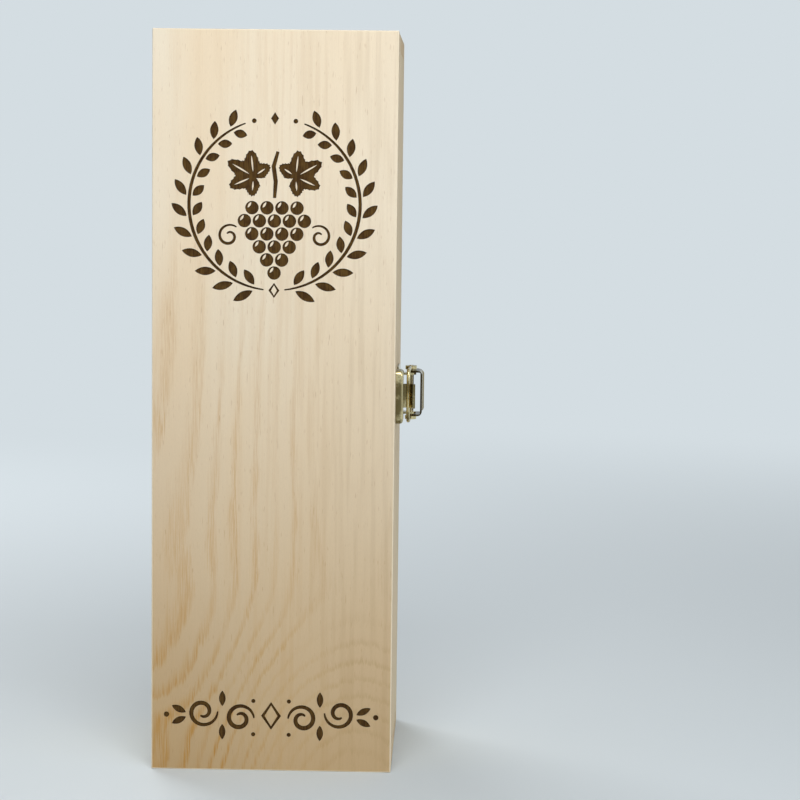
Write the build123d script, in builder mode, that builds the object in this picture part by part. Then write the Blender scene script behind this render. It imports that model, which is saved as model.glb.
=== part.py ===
"""Wooden box for one bottle: a deep tray, a shallow hinged lid and a toggle latch.

Millimetres, +Z up. The box stands on its bottom end, and the origin is the middle of that face.
The lid is the front and faces -Y, the hinges are on the -X wall and the latch is on the +X wall.
"""

import os

from build123d import *

# Outside of the closed box
WIDTH = 116
DEPTH = 110
HEIGHT = 355
EDGE_EASE = 1.0
RIM_EASE = 0.5

# Boards
WALL = 9
PANEL = 6
LID_DEPTH = 30
SEAM_GAP = 0.3
TRAY_FINGERS = 7
LID_FINGERS = 3

# Cradle that holds the bottle's neck
CRADLE_THICKNESS = 10
CRADLE_HEIGHT = 248
CRADLE_REACH = 49
NECK_RADIUS = 16
NECK_LIP = 2
DADO_DEPTH = 2
DADO_CLEARANCE = 0.1

# Butt hinges
HINGE_LENGTH = 30
HINGE_INSET = 60
LEAF_THICKNESS = 1.0
LEAF_WIDTH = 8
KNUCKLE_COUNT = 5
KNUCKLE_RADIUS = 1.8
KNUCKLE_STANDOFF = 0.25
KNUCKLE_CLEARANCE = 0.3
KNUCKLE_END_GAP = 0.1
HINGE_PIN_RADIUS = 0.8
HINGE_PIN_HEAD_RADIUS = 1.3
HINGE_PIN_HEAD = 0.8
MORTISE_CLEARANCE = 0.1
HINGE_SCREW_SPACING = 18
HINGE_SCREW_INSET = 3.4

# Screws, and the fit of pins that turn
RUNNING_CLEARANCE = 0.06
HOLE_CLEARANCE = 0.05
SCREW_RADIUS = 1.0
SCREW_HEAD_RADIUS = 1.9
SCREW_DOME = 0.9
SCREW_HEAD_CROWN = 0.35
SCREW_LENGTH = 7
SCREW_TIP = 1.6

# Toggle latch: places run back from the seam, and heights run out from the right wall
LATCH_HEIGHT = 181
PLATE_WIDTH = 26
PLATE_CORNER = 2.5
STRIKE_SETBACK = 3
STRIKE_LENGTH = 13
STRIKE_HEIGHT = 3.6
STRIKE_ROUND = 1.5
STRIKE_SHEET = 0.8
STRIKE_SCREW_SPACING = 18
STRIKE_SCREW_SETBACK = 11.5
HOOK_SETBACK = 6.5
HOOK_WIDTH = 11.6
HOOK_HEIGHT = 9.3
HOOK_SHEET = 1.2
HOOK_BEND = 2.2
HOOK_OVERHANG = 4.5
WIRE = 1.8
BAR_HEIGHT = 5.9
BAR_CLEARANCE = 0.3
LOOP_CORNER = 3
EYE_RADIUS = 2.8
LEVER_PIVOT_PLACE = 8
LEVER_PIVOT_HEIGHT = 7.2
LOOP_PIVOT_SPACING = 4
LOOP_PIVOT_HEIGHT = 6.8
LATCH_PIN_RADIUS = 1.0
BASE_NOSE = 5
BASE_TAIL = 20
BASE_THICKNESS = 1.0
BASE_ROUND = 0.4
BASE_SCREW_SPACING = 15
BASE_SCREW_PITCH = 7.5
BASE_SCREW_INSET = 3.5
EAR_SHEET = 1.0
EAR_RADIUS = 2.2
EAR_FOOT = 4
LEVER_WIDTH = 22.4
LEVER_SHEET = 0.9
LEVER_HEIGHT = 12.4
LEVER_NOSE = 3.5
LEVER_TAIL = 11.5
LEVER_NOSE_HEIGHT = 9
LEVER_TAIL_HEIGHT = 9.4
LEVER_BOSS = 2.2
LEVER_ROUND = 0.7
LIP_RISE = 0.9
LIP_LENGTH = 2.5
LIP_CORNER = 2
SIDE_CLEARANCE = 0.2

# Planes and lines that the pieces share
FRONT = -DEPTH / 2
BACK = DEPTH / 2
LEFT = -WIDTH / 2
RIGHT = WIDTH / 2
SEAM = FRONT + LID_DEPTH
LID_RIM = SEAM - SEAM_GAP / 2
TRAY_RIM = SEAM + SEAM_GAP / 2
LID_FRAME_FRONT = FRONT + PANEL
TRAY_FRAME_BACK = BACK - PANEL
INNER_WIDTH = WIDTH - 2 * WALL
HINGE_X = LEFT - KNUCKLE_STANDOFF - KNUCKLE_RADIUS
HINGE_MIDDLES = {"upper": HEIGHT - HINGE_INSET, "lower": HINGE_INSET}
BAR_PLACE = -HOOK_SETBACK - HOOK_SHEET / 2 - BAR_CLEARANCE - WIRE / 2
LOOP_PIVOT_PLACE = LEVER_PIVOT_PLACE + LOOP_PIVOT_SPACING
ARM_SPREAD = LEVER_WIDTH / 2 + SIDE_CLEARANCE + WIRE / 2
EAR_SPREAD = LEVER_WIDTH / 2 - LEVER_SHEET - SIDE_CLEARANCE


def latch_point(place, height):
    """Point of the latch's level section: place back from the seam, height out from the wall."""
    return (RIGHT + height, SEAM + place)


def save(part, name):
    """Name a finished piece and write it to its own file."""
    part.label = name
    export_step(part, f"parts/{name}.step")


def cylinder_between(center, radius, low, high):
    """Upright round bar or hole about a point of the level section."""
    with BuildPart() as bar:
        with BuildSketch(Plane.XY.offset(low)):
            with Locations(center):
                Circle(radius)
        extrude(amount=high - low)
    return bar.part


def eased_half(near, far, rim_first):
    """Solid outside of the lid or the tray, with its edges eased and its rim chamfered."""
    with BuildPart() as half:
        with BuildSketch(Plane.XY):
            with Locations((0, (near + far) / 2)):
                Rectangle(WIDTH, far - near)
        extrude(amount=HEIGHT)
        fillet(half.edges() - half.edges().group_by(Axis.Y)[0 if rim_first else -1], EDGE_EASE)
        chamfer(half.faces().sort_by(Axis.Y)[0 if rim_first else -1].edges(), RIM_EASE)
    return half.part


def finger_middles(near, far, count, first):
    """Middles of every second finger of a corner joint that runs from near to far."""
    finger = (far - near) / count
    return [near + finger * (i + 0.5) for i in range(first, count, 2)]


def side_board(low_x, near, far, count, outside):
    """Upright board. The fingers of both end boards pass through its slots."""
    finger = (far - near) / count
    with BuildPart() as board:
        with BuildSketch(Plane.YZ.offset(low_x)):
            with Locations(((near + far) / 2, HEIGHT / 2)):
                Rectangle(far - near, HEIGHT)
            for y in finger_middles(near, far, count, 1):
                with Locations((y, WALL / 2), (y, HEIGHT - WALL / 2)):
                    Rectangle(finger, WALL, mode=Mode.SUBTRACT)
        extrude(amount=WALL)
        add(outside, mode=Mode.INTERSECT)
    return board.part


def end_board(low_z, near, far, count, outside):
    """Level board. Its own fingers fill the slots of both side boards."""
    finger = (far - near) / count
    with BuildPart() as board:
        with BuildSketch(Plane.XY.offset(low_z)):
            with Locations((0, (near + far) / 2)):
                Rectangle(WIDTH, far - near)
            for y in finger_middles(near, far, count, 0):
                with Locations((LEFT + WALL / 2, y), (RIGHT - WALL / 2, y)):
                    Rectangle(WALL, finger, mode=Mode.SUBTRACT)
        extrude(amount=WALL)
        add(outside, mode=Mode.INTERSECT)
    return board.part


def panel(near, outside):
    """Thin board that covers one whole side of a frame."""
    with BuildPart() as board:
        with BuildSketch(Plane.XY):
            with Locations((0, near + PANEL / 2)):
                Rectangle(WIDTH, PANEL)
        extrude(amount=HEIGHT)
        add(outside, mode=Mode.INTERSECT)
    return board.part


def screw_plane(place, outward):
    """Plane through a screw's axis, with its local Y along the way that the head faces."""
    return Plane(origin=place, x_dir=(0, 0, 1), z_dir=Vector(0, 0, 1).cross(Vector(outward)))


def flat_screws(places, outward, grow=0.0):
    """Countersunk screws, one solid each, or with grow the holes that they sit in."""
    with BuildPart() as group:
        for place in places:
            with BuildSketch(screw_plane(place, outward)):
                with BuildLine():
                    Polyline(
                        (0, 0),
                        (SCREW_HEAD_RADIUS + grow, 0),
                        (SCREW_RADIUS + grow, SCREW_RADIUS - SCREW_HEAD_RADIUS),
                        (SCREW_RADIUS + grow, SCREW_TIP - SCREW_LENGTH),
                        (0, -SCREW_LENGTH - grow),
                        close=True,
                    )
                make_face()
            revolve(axis=Axis(place, outward))
    return group.part


def round_screws(places, outward):
    """Round head screws, one solid each."""
    with BuildPart() as group:
        for place in places:
            with BuildSketch(screw_plane(place, outward)):
                with BuildLine():
                    dome = SagittaArc((0, SCREW_DOME), (SCREW_HEAD_RADIUS, 0), SCREW_HEAD_CROWN)
                    Polyline(
                        dome @ 1,
                        (SCREW_RADIUS, 0),
                        (SCREW_RADIUS, SCREW_TIP - SCREW_LENGTH),
                        (0, -SCREW_LENGTH),
                        dome @ 0,
                    )
                make_face()
            revolve(axis=Axis(place, outward))
    return group.part


def shank_holes(places, outward):
    """Pointed holes that the shanks of round head screws sit in."""
    radius = SCREW_RADIUS + HOLE_CLEARANCE
    with BuildPart() as group:
        for place in places:
            with BuildSketch(screw_plane(place, outward)):
                with BuildLine():
                    Polyline(
                        (0, 0),
                        (radius, 0),
                        (radius, SCREW_TIP - SCREW_LENGTH),
                        (0, -SCREW_LENGTH - HOLE_CLEARANCE),
                        close=True,
                    )
                make_face()
            revolve(axis=Axis(place, outward))
    return group.part


def hinge_mortises(side):
    """Shallow seats in a rim for both leaves. side is 1 for the tray and -1 for the lid."""
    rim = SEAM + side * SEAM_GAP / 2
    with BuildPart() as seats:
        for middle in HINGE_MIDDLES.values():
            with BuildSketch(Plane.XY.offset(middle - HINGE_LENGTH / 2 - MORTISE_CLEARANCE)):
                with Locations((LEFT + LEAF_WIDTH / 2, rim + side * LEAF_THICKNESS / 2)):
                    Rectangle(LEAF_WIDTH + 2 * MORTISE_CLEARANCE, LEAF_THICKNESS)
            extrude(amount=HINGE_LENGTH + 2 * MORTISE_CLEARANCE)
    return seats.part


def hinge_screw_places(side):
    """Points on a rim where the screws of both leaves go in."""
    rim = SEAM + side * SEAM_GAP / 2
    return [
        (LEFT + HINGE_SCREW_INSET, rim, middle + step * HINGE_SCREW_SPACING / 2)
        for middle in HINGE_MIDDLES.values()
        for step in (-1, 1)
    ]


def hinge_leaf(middle, side):
    """Leaf and its knuckles. The tray's leaf has the odd knuckle more."""
    low = middle - HINGE_LENGTH / 2
    knuckle = HINGE_LENGTH / KNUCKLE_COUNT
    rim = SEAM + side * SEAM_GAP / 2
    edge = LEFT + LEAF_WIDTH
    holes = flat_screws([p for p in hinge_screw_places(side) if abs(p[2] - middle) < HINGE_LENGTH],
                        (0, -side, 0), HOLE_CLEARANCE)
    with BuildPart() as leaf:
        with BuildSketch(Plane.XY.offset(low)):
            with Locations((HINGE_X, SEAM)):
                Circle(KNUCKLE_RADIUS)
            with Locations(((HINGE_X + edge) / 2, rim + side * LEAF_THICKNESS / 2)):
                Rectangle(edge - HINGE_X, LEAF_THICKNESS)
        extrude(amount=HINGE_LENGTH)
        for i in range(1 if side > 0 else 0, KNUCKLE_COUNT, 2):
            with BuildSketch(Plane.XY.offset(low + i * knuckle - KNUCKLE_END_GAP)):
                with Locations((HINGE_X, SEAM)):
                    Circle(KNUCKLE_RADIUS + KNUCKLE_CLEARANCE)
            extrude(amount=knuckle + 2 * KNUCKLE_END_GAP, mode=Mode.SUBTRACT)
        with BuildSketch(Plane.XY.offset(low)):
            with Locations((HINGE_X, SEAM)):
                Circle(HINGE_PIN_RADIUS + RUNNING_CLEARANCE)
        extrude(amount=HINGE_LENGTH, mode=Mode.SUBTRACT)
        add(holes, mode=Mode.SUBTRACT)
    return leaf.part


def hinge_pin(middle):
    """Pin with a low head at each end, which keeps it in the knuckles."""
    seat = HINGE_LENGTH / 2 + KNUCKLE_END_GAP
    with BuildPart() as pin:
        with BuildSketch(Plane.XY.offset(middle - seat)):
            with Locations((HINGE_X, SEAM)):
                Circle(HINGE_PIN_RADIUS)
        extrude(amount=2 * seat)
        for face in (pin.faces().sort_by(Axis.Z)[0], pin.faces().sort_by(Axis.Z)[-1]):
            with BuildSketch(Plane(face)):
                Circle(HINGE_PIN_HEAD_RADIUS)
            extrude(amount=HINGE_PIN_HEAD)
        rims = pin.edges().filter_by(GeomType.CIRCLE).sort_by(Axis.Z)
        fillet([rims[0], rims[-1]], HINGE_PIN_HEAD / 2)
    return pin.part


os.makedirs("parts", exist_ok=True)

# Outer surfaces that all boards of one half share
lid_outside = eased_half(FRONT, LID_RIM, rim_first=False)
tray_outside = eased_half(TRAY_RIM, BACK, rim_first=True)

# Screw places on the right wall
strike_screw_places = [
    (
        RIGHT + STRIKE_HEIGHT,
        SEAM - STRIKE_SCREW_SETBACK,
        LATCH_HEIGHT + step * STRIKE_SCREW_SPACING / 2,
    )
    for step in (-1, 1)
]
base_screw_places = [
    (
        RIGHT + BASE_THICKNESS,
        SEAM + LEVER_PIVOT_PLACE + BASE_TAIL - BASE_SCREW_INSET - row * BASE_SCREW_PITCH,
        LATCH_HEIGHT + step * BASE_SCREW_SPACING / 2,
    )
    for row in (0, 1)
    for step in (-1, 1)
]

# Tray: back panel, two sides with the cradle's housings, and two ends
back_panel = panel(TRAY_FRAME_BACK, tray_outside)
save(back_panel, "back_panel")

with BuildPart() as housing:
    with BuildSketch(Plane.XY.offset(CRADLE_HEIGHT - DADO_CLEARANCE)):
        with Locations((0, TRAY_FRAME_BACK - CRADLE_REACH / 2)):
            Rectangle(INNER_WIDTH + 2 * DADO_DEPTH, CRADLE_REACH)
    extrude(amount=CRADLE_THICKNESS + 2 * DADO_CLEARANCE)

tray_hinge_holes = flat_screws(hinge_screw_places(1), (0, -1, 0), HOLE_CLEARANCE)
tray_mortises = hinge_mortises(1)
with BuildPart() as tray_left_side:
    add(side_board(LEFT, TRAY_RIM, TRAY_FRAME_BACK, TRAY_FINGERS, tray_outside))
    add(housing.part, mode=Mode.SUBTRACT)
    add(tray_mortises, mode=Mode.SUBTRACT)
    add(tray_hinge_holes, mode=Mode.SUBTRACT)
save(tray_left_side.part, "tray_left_side")

base_holes = shank_holes(base_screw_places, (1, 0, 0))
with BuildPart() as tray_right_side:
    add(side_board(RIGHT - WALL, TRAY_RIM, TRAY_FRAME_BACK, TRAY_FINGERS, tray_outside))
    add(housing.part, mode=Mode.SUBTRACT)
    add(base_holes, mode=Mode.SUBTRACT)
save(tray_right_side.part, "tray_right_side")

tray_bottom_end = end_board(0, TRAY_RIM, TRAY_FRAME_BACK, TRAY_FINGERS, tray_outside)
save(tray_bottom_end, "tray_bottom_end")
tray_top_end = end_board(HEIGHT - WALL, TRAY_RIM, TRAY_FRAME_BACK, TRAY_FINGERS, tray_outside)
save(tray_top_end, "tray_top_end")

# Neck cradle: a shelf with a half-round notch whose mouth is eased
with BuildPart() as neck_cradle:
    with BuildSketch(Plane.XY.offset(CRADLE_HEIGHT)):
        with Locations((0, TRAY_FRAME_BACK - CRADLE_REACH / 2)):
            Rectangle(INNER_WIDTH + 2 * DADO_DEPTH, CRADLE_REACH)
        with Locations((0, TRAY_FRAME_BACK - CRADLE_REACH)):
            Circle(NECK_RADIUS, mode=Mode.SUBTRACT)
    extrude(amount=CRADLE_THICKNESS)
    front_edges = neck_cradle.edges().filter_by(Axis.Z).group_by(Axis.Y)[0].sort_by(Axis.X)
    fillet(front_edges[1:-1], NECK_LIP)
save(neck_cradle.part, "neck_cradle")

# Lid: front panel on a shallow frame
lid_panel = panel(FRONT, lid_outside)
save(lid_panel, "lid_panel")

lid_hinge_holes = flat_screws(hinge_screw_places(-1), (0, 1, 0), HOLE_CLEARANCE)
lid_mortises = hinge_mortises(-1)
with BuildPart() as lid_left_rail:
    add(side_board(LEFT, LID_FRAME_FRONT, LID_RIM, LID_FINGERS, lid_outside))
    add(lid_mortises, mode=Mode.SUBTRACT)
    add(lid_hinge_holes, mode=Mode.SUBTRACT)
save(lid_left_rail.part, "lid_left_rail")

strike_holes = flat_screws(strike_screw_places, (1, 0, 0), HOLE_CLEARANCE)
with BuildPart() as lid_right_rail:
    add(side_board(RIGHT - WALL, LID_FRAME_FRONT, LID_RIM, LID_FINGERS, lid_outside))
    add(strike_holes, mode=Mode.SUBTRACT)
save(lid_right_rail.part, "lid_right_rail")

lid_bottom_rail = end_board(0, LID_FRAME_FRONT, LID_RIM, LID_FINGERS, lid_outside)
save(lid_bottom_rail, "lid_bottom_rail")
lid_top_rail = end_board(HEIGHT - WALL, LID_FRAME_FRONT, LID_RIM, LID_FINGERS, lid_outside)
save(lid_top_rail, "lid_top_rail")

# Butt hinges
for name, middle in HINGE_MIDDLES.items():
    save(hinge_leaf(middle, 1), f"{name}_hinge_tray_leaf")
    save(hinge_leaf(middle, -1), f"{name}_hinge_lid_leaf")
    save(hinge_pin(middle), f"{name}_hinge_pin")
save(flat_screws(hinge_screw_places(1), (0, -1, 0)), "tray_hinge_screws")
save(flat_screws(hinge_screw_places(-1), (0, 1, 0)), "lid_hinge_screws")

# Strike plate: a pressed pan, open towards the wood, with a hook curled away from the seam
with BuildPart() as strike_plate:
    with BuildSketch(Plane.YZ.offset(RIGHT)):
        with Locations((SEAM - STRIKE_SETBACK - STRIKE_LENGTH / 2, LATCH_HEIGHT)):
            RectangleRounded(STRIKE_LENGTH, PLATE_WIDTH, PLATE_CORNER)
    extrude(amount=STRIKE_HEIGHT)
    fillet(strike_plate.faces().sort_by(Axis.X)[-1].edges(), STRIKE_ROUND)
    offset(amount=-STRIKE_SHEET, openings=strike_plate.faces().sort_by(Axis.X)[0])
    add(strike_holes, mode=Mode.SUBTRACT)
    with BuildSketch(Plane.XY.offset(LATCH_HEIGHT - HOOK_WIDTH / 2)):
        with BuildLine():
            bend_height = HOOK_HEIGHT - HOOK_SHEET / 2 - HOOK_BEND
            stem = Line(
                latch_point(-HOOK_SETBACK, STRIKE_HEIGHT - STRIKE_SHEET),
                latch_point(-HOOK_SETBACK, bend_height),
            )
            bend = JernArc(stem @ 1, stem % 1, HOOK_BEND, -90)
            Line(bend @ 1, bend @ 1 + (0, HOOK_BEND - HOOK_OVERHANG))
        trace(line_width=HOOK_SHEET)
    extrude(amount=HOOK_WIDTH)
save(strike_plate.part, "strike_plate")
save(flat_screws(strike_screw_places, (1, 0, 0)), "strike_screws")

# Base plate with two ears for the lever's pin
lever_pivot = latch_point(LEVER_PIVOT_PLACE, LEVER_PIVOT_HEIGHT)
loop_pivot = latch_point(LOOP_PIVOT_PLACE, LOOP_PIVOT_HEIGHT)
with BuildPart() as latch_base_plate:
    with BuildSketch(Plane.YZ.offset(RIGHT)):
        with Locations((SEAM + LEVER_PIVOT_PLACE + (BASE_TAIL - BASE_NOSE) / 2, LATCH_HEIGHT)):
            RectangleRounded(BASE_NOSE + BASE_TAIL, PLATE_WIDTH, PLATE_CORNER)
    extrude(amount=BASE_THICKNESS)
    fillet(latch_base_plate.faces().sort_by(Axis.X)[-1].edges(), BASE_ROUND)
    add(base_holes, mode=Mode.SUBTRACT)
    for low in (LATCH_HEIGHT - EAR_SPREAD, LATCH_HEIGHT + EAR_SPREAD - EAR_SHEET):
        with BuildSketch(Plane.XY.offset(low)):
            with Locations(lever_pivot):
                Circle(EAR_RADIUS)
            with Locations(latch_point(LEVER_PIVOT_PLACE, BASE_THICKNESS / 2)):
                Rectangle(BASE_THICKNESS, 2 * EAR_FOOT)
            make_hull()
            with Locations(lever_pivot):
                Circle(LATCH_PIN_RADIUS + HOLE_CLEARANCE, mode=Mode.SUBTRACT)
        extrude(amount=EAR_SHEET)
save(latch_base_plate.part, "latch_base_plate")
save(round_screws(base_screw_places, (1, 0, 0)), "latch_base_screws")

half_lever = LEVER_WIDTH / 2
lever_pivot_pin = cylinder_between(
    lever_pivot, LATCH_PIN_RADIUS, LATCH_HEIGHT - half_lever, LATCH_HEIGHT + half_lever
)
save(lever_pivot_pin, "lever_pivot_pin")

# Lever: a channel whose web is the thumb plate, with a lip turned out at its free end
with BuildPart() as latch_lever:
    with BuildSketch(Plane.XY.offset(LATCH_HEIGHT - half_lever)):
        for pivot in (lever_pivot, loop_pivot):
            with Locations(pivot):
                Circle(LEVER_BOSS)
        with BuildLine():
            Polyline(
                latch_point(LEVER_PIVOT_PLACE - LEVER_NOSE, LEVER_NOSE_HEIGHT),
                latch_point(LEVER_PIVOT_PLACE - LEVER_NOSE, LEVER_HEIGHT),
                latch_point(LEVER_PIVOT_PLACE + LEVER_TAIL, LEVER_HEIGHT),
                latch_point(LEVER_PIVOT_PLACE + LEVER_TAIL, LEVER_TAIL_HEIGHT),
                close=True,
            )
        make_face()
        make_hull()
    extrude(amount=LEVER_WIDTH)
    fillet(latch_lever.faces().sort_by(Axis.X)[-1].edges().filter_by(Axis.Y), LEVER_ROUND)
    with BuildSketch(Plane.XY.offset(LATCH_HEIGHT - half_lever + LEVER_SHEET)):
        with Locations(latch_point(LEVER_PIVOT_PLACE, (LEVER_HEIGHT - LEVER_SHEET) / 2)):
            Rectangle(LEVER_HEIGHT - LEVER_SHEET, 2 * (LEVER_NOSE + LEVER_TAIL))
    extrude(amount=LEVER_WIDTH - 2 * LEVER_SHEET, mode=Mode.SUBTRACT)
    with BuildSketch(Plane.XY.offset(LATCH_HEIGHT - half_lever)):
        with BuildLine():
            root = latch_point(LEVER_PIVOT_PLACE + LEVER_TAIL, LEVER_HEIGHT - LEVER_SHEET / 2)
            SagittaArc(root, (root[0] + LIP_RISE, root[1] + LIP_LENGTH), LIP_RISE / 4)
        trace(line_width=LEVER_SHEET)
    extrude(amount=LEVER_WIDTH)
    lip_end = latch_lever.faces().sort_by(Axis.Y)[-1]
    fillet(lip_end.edges().sort_by(SortBy.LENGTH)[:2], LIP_CORNER)
    for pivot in (lever_pivot, loop_pivot):
        with BuildSketch(Plane.XY.offset(LATCH_HEIGHT - half_lever)):
            with Locations(pivot):
                Circle(LATCH_PIN_RADIUS + RUNNING_CLEARANCE)
        extrude(amount=LEVER_WIDTH, mode=Mode.SUBTRACT)
save(latch_lever.part, "latch_lever")

# Loop: bent wire with an eye at each end, on its own pin through the lever
pin_reach = ARM_SPREAD + WIRE / 2 + SIDE_CLEARANCE
loop_pivot_pin = cylinder_between(
    loop_pivot, LATCH_PIN_RADIUS, LATCH_HEIGHT - pin_reach, LATCH_HEIGHT + pin_reach
)
save(loop_pivot_pin, "loop_pivot_pin")

bar = Vector(*latch_point(BAR_PLACE, BAR_HEIGHT), LATCH_HEIGHT)
pivot = Vector(*loop_pivot, LATCH_HEIGHT)
along = (bar - pivot).normalized()
loop_plane = Plane(origin=pivot, x_dir=(0, 0, 1), z_dir=Vector(0, 0, 1).cross(along))
reach = (bar - pivot).length
with BuildPart() as latch_loop:
    with BuildLine(loop_plane) as wire_line:
        FilletPolyline(
            (-ARM_SPREAD, 0),
            (-ARM_SPREAD, reach),
            (ARM_SPREAD, reach),
            (ARM_SPREAD, 0),
            radius=LOOP_CORNER,
        )
    with BuildSketch(Plane(origin=wire_line.line @ 0, z_dir=wire_line.line % 0)):
        Circle(WIRE / 2)
    sweep()
    for low in (LATCH_HEIGHT - ARM_SPREAD - WIRE / 2, LATCH_HEIGHT + ARM_SPREAD - WIRE / 2):
        with BuildSketch(Plane.XY.offset(low)):
            with Locations(loop_pivot):
                Circle(EYE_RADIUS)
        extrude(amount=WIRE)
    with BuildSketch(Plane.XY.offset(LATCH_HEIGHT - pin_reach)):
        with Locations(loop_pivot):
            Circle(LATCH_PIN_RADIUS + RUNNING_CLEARANCE)
    extrude(amount=2 * pin_reach, mode=Mode.SUBTRACT)
save(latch_loop.part, "latch_loop")
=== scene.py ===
# %% [markdown]
# # A wooden box for one bottle
#
# The box stands on its end: a deep tray, a shallow hinged lid and a small brass toggle latch on the
# right wall. The construction is fixed and comes in as a imported model. This lesson gives it its
# looks: pale veneer with upright grain, a burnt-in drawing on the lid, end grain where boards stop,
# and worn brass, whose darker gold on the latch is partly painted reflection. Everything is in metres,
# +Z is up and the lid faces -Y.

# %% Load the imported model
import math

import bmesh
import bpy
from mathutils import Matrix, Vector
from mathutils.geometry import tessellate_polygon


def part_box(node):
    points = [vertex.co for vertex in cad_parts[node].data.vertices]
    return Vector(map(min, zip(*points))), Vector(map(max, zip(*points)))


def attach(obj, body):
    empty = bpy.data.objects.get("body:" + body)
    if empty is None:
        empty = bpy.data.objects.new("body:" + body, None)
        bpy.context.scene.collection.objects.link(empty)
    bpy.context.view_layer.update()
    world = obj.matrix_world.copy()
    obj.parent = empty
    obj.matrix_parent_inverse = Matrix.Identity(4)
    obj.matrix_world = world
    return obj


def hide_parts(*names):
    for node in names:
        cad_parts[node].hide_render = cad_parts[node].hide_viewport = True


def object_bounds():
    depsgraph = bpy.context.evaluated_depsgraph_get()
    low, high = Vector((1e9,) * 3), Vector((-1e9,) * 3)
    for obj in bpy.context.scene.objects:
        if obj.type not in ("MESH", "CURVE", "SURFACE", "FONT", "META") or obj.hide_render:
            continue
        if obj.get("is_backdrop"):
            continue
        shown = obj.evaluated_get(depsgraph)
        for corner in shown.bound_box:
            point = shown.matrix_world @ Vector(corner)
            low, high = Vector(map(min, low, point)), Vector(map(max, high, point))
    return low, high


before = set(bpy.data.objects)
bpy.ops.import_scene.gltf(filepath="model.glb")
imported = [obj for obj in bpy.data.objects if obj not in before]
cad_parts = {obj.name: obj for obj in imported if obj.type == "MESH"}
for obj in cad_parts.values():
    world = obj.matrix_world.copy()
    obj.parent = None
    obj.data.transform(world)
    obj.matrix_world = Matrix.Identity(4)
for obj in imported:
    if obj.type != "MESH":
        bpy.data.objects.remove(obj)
CAD_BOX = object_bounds()
MM = 0.001

# %% [markdown]
# ## The camera
#
# The photograph was taken from a little above the middle of the box and slightly to its right, so
# the latch shows at the edge and the left wall is hidden. The camera could be aimed with a
# constraint, but the picture also leans by half a degree, which only a roll of the camera gives.
# So its three axes are worked out from a turn, a tilt and a roll, and become its matrix.

# %% Place the camera
CAMERA_PLACE = Vector((0.085, -1.155, 0.291))
CAMERA_TURN = math.radians(-1.28)
CAMERA_TILT = math.radians(5.7)
CAMERA_ROLL = math.radians(0.70)
LENS = 104.6
SENSOR = 36


def aimed(place, turn, tilt, roll):
    """Matrix of a camera at place that looks along +Y before it is turned, tilted down and rolled."""
    ahead = Vector((math.sin(turn) * math.cos(tilt), math.cos(turn) * math.cos(tilt), -math.sin(tilt)))
    level = ahead.cross(Vector((0, 0, 1))).normalized()
    upright = level.cross(ahead)
    right = level * math.cos(roll) + upright * math.sin(roll)
    up = right.cross(ahead)
    axes = Matrix((right, up, -ahead)).transposed()
    return Matrix.Translation(place) @ axes.to_4x4()


camera_data = bpy.data.cameras.new("camera")
camera_data.lens = LENS
camera_data.sensor_width = SENSOR
camera = bpy.data.objects.new("camera", camera_data)
camera.matrix_world = aimed(CAMERA_PLACE, CAMERA_TURN, CAMERA_TILT, CAMERA_ROLL)
bpy.context.scene.collection.objects.link(camera)
bpy.context.scene.camera = camera
box_middle = (Vector(CAD_BOX[0]) + Vector(CAD_BOX[1])) / 2
print("camera", round((CAMERA_PLACE - box_middle).length, 3), "m from the middle of the box")

# %% [markdown]
# ## Nodes written as sums
#
# A procedural material is arithmetic on the place of each point. Node by node that is long and hard
# to read, so one small class stands for what a socket gives, and adding or multiplying it makes the
# Math node. Colours can't go through a Math node, which turns them grey, so they have a method of
# their own. Every other node comes from one method, which sets the node up and then feeds it.

# %% A socket that can be added and multiplied
class Line:
    """What one socket gives. A sum written on it becomes a Math node."""

    def __init__(self, nodes, socket):
        self.nodes = nodes
        self.socket = socket

    def math(self, operation, *values):
        return self.nodes.node("ShaderNodeMath", {"operation": operation}, dict(enumerate(values)))

    def __add__(self, other):
        return self.math("ADD", self, other)

    def __radd__(self, other):
        return self.math("ADD", other, self)

    def __sub__(self, other):
        return self.math("SUBTRACT", self, other)

    def __rsub__(self, other):
        return self.math("SUBTRACT", other, self)

    def __mul__(self, other):
        return self.math("MULTIPLY", self, other)

    def __rmul__(self, other):
        return self.math("MULTIPLY", other, self)

    def __truediv__(self, other):
        return self.math("DIVIDE", self, other)

    def __rpow__(self, other):
        return self.math("POWER", other, self)

    def fraction(self):
        return self.math("FRACT", self)

    def root(self):
        return self.math("SQRT", self)

    def sine(self):
        return self.math("SINE", self)

    def larger(self, other):
        return self.math("MAXIMUM", self, other)


def between(low, high, share):
    """A number that goes from low to high as share goes from 0 to 1."""
    return low + (high - low) * share


# %% [markdown]
# ## A finish
#
# One class knows how to add nodes to any tree. A finish builds on it: one material with its
# Principled shader. What is the same all over is set on the shader's own socket, because a constant
# needs no node, and only what changes from place to place is linked. Places are measured in
# millimetres in the box's own frame, so a grain's width can be read off a ruler, and the pattern
# stays on the board when the lid swings.

# %% Colours as the eye reads them
def paint(red, green, blue):
    """Linear colour of three screen values from 0 to 255."""
    screen = [value / 255 for value in (red, green, blue)]
    linear = [((v + 0.055) / 1.055) ** 2.4 if v > 0.04045 else v / 12.92 for v in screen]
    return (*linear, 1.0)


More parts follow.
